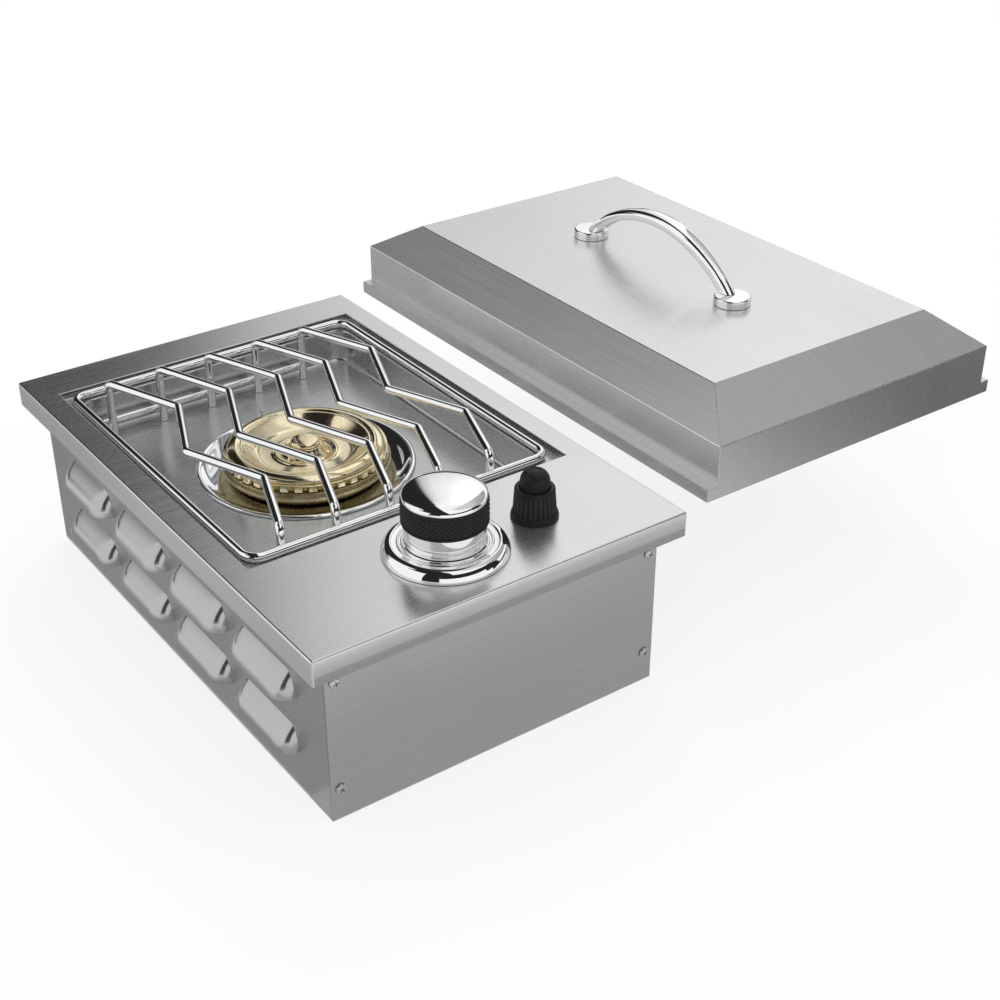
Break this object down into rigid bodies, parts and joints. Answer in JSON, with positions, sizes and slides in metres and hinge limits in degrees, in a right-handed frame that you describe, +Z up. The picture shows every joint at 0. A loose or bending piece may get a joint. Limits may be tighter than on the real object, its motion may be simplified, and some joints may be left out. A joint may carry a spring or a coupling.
{
  "type": "built-in gas side burner",
  "caption": "Drop-in gas burner in a sheet-steel box: rod grate over a round burner in a pressed well, knob and push-button igniter in front, loose lid with an arched handle.",
  "frame": {"origin": "centre of the counter cut-out, in the plane of the counter's top, which is the underside of the deck's lip", "axes": "+X to the right seen from the front, +Y to the back, +Z up; the controls are at the -Y end"},
  "size_m": [0.6898, 0.5271, 0.2551],
  "materials": {
    "brushed_steel": "brushed stainless steel sheet",
    "polished_steel": "mirror polished",
    "zinc_plated_steel": "zinc plated, satin",
    "spring_steel": "drawn spring wire",
    "burner_brass": "polished",
    "fitting_brass": "turned, satin",
    "cast_aluminium": "cast, matt",
    "black_rubber": "matt, moulded diamond pattern on the grip",
    "black_plastic": "satin moulded",
    "white_ceramic": "glazed ceramic",
    "battery_wrap": "printed sleeve without any print"
  },
  "bodies": {
    "housing": {"deck_panel": "brushed_steel", "burner_well": "brushed_steel", "left_side_panel": "brushed_steel", "right_side_panel": "brushed_steel", "front_panel": "brushed_steel", "rear_panel": "brushed_steel", "bottom_panel": "brushed_steel", "drip_bowl": "polished_steel", "control_bezel": "polished_steel", "front_screw_upper_left": "zinc_plated_steel", "front_screw_lower_left": "zinc_plated_steel", "front_screw_upper_right": "zinc_plated_steel", "front_screw_lower_right": "zinc_plated_steel", "valve_neck_nut": "zinc_plated_steel", "valve_bracket": "zinc_plated_steel", "burner_strap": "zinc_plated_steel", "electrode_pin": "zinc_plated_steel", "igniter_spring": "spring_steel", "burner_base": "burner_brass", "burner_ring": "burner_brass", "injector": "fitting_brass", "gas_inlet_fitting": "fitting_brass", "inlet_nut": "fitting_brass", "valve_body": "cast_aluminium", "gas_pipe": "cast_aluminium", "mixing_tube": "cast_aluminium", "electrode_lead": "black_rubber", "igniter_collar": "black_plastic", "igniter_body": "black_plastic", "igniter_nut": "black_plastic", "electrode_ceramic": "white_ceramic", "igniter_battery": "battery_wrap"},
    "valve_rotor": {"valve_plug": "fitting_brass", "valve_spring": "spring_steel"},
    "knob": {"valve_stem": "fitting_brass", "knob_skirt": "polished_steel", "knob_grip": "black_rubber", "knob_cap": "polished_steel"},
    "igniter_button": {"igniter_button": "black_plastic"},
    "air_shutter": {"air_shutter": "zinc_plated_steel"},
    "grate": {"grate_frame": "polished_steel", "grate_lower_bar": "polished_steel", "grate_finger_1": "polished_steel", "grate_finger_2": "polished_steel", "grate_finger_3": "polished_steel", "grate_finger_4": "polished_steel", "grate_finger_5": "polished_steel"},
    "burner_cap": {"burner_crown": "burner_brass", "burner_centre_cap": "burner_brass"},
    "lid": {"lid_shell": "brushed_steel", "lid_front_panel": "brushed_steel", "lid_rear_panel": "brushed_steel", "lid_handle": "polished_steel", "handle_pad_front": "polished_steel", "handle_pad_rear": "polished_steel", "handle_screw_front": "zinc_plated_steel", "handle_screw_rear": "zinc_plated_steel"}
  },
  "joints": [
    {"name": "knob_turn", "type": "hinge", "parent": "housing", "child": "valve_rotor", "pos_m": [-0.0145, -0.1859, 0.0204], "axis": [0, 0, 1], "range_deg": [0, 180]},
    {"name": "knob_push", "type": "slide", "parent": "valve_rotor", "child": "knob", "axis": [0, 0, -1], "range_m": [0, 0.003], "stiffness_N_per_m": 1500, "springref_m": -0.006, "deforming": ["valve_spring"]},
    {"name": "igniter_press", "type": "slide", "parent": "housing", "child": "igniter_button", "axis": [0, 0, -1], "range_m": [0, 0.003], "stiffness_N_per_m": 400, "springref_m": -0.004, "deforming": ["igniter_spring"]},
    {"name": "shutter_turn", "type": "hinge", "parent": "housing", "child": "air_shutter", "pos_m": [-0.0145, -0.13, -0.0416], "axis": [0, 1, 0], "range_deg": [0, 90]},
    {"name": "grate_lift", "type": "slide", "parent": "housing", "child": "grate", "axis": [0, 0, 1], "range_m": [0, 0.08]},
    {"name": "burner_cap_lift", "type": "slide", "parent": "housing", "child": "burner_cap", "axis": [0, 0, 1], "range_m": [0, 0.015]},
    {"name": "lid_lift", "type": "slide", "parent": "housing", "child": "lid", "axis": [0, 0, 1], "range_m": [0, 0.2]}
  ]
}
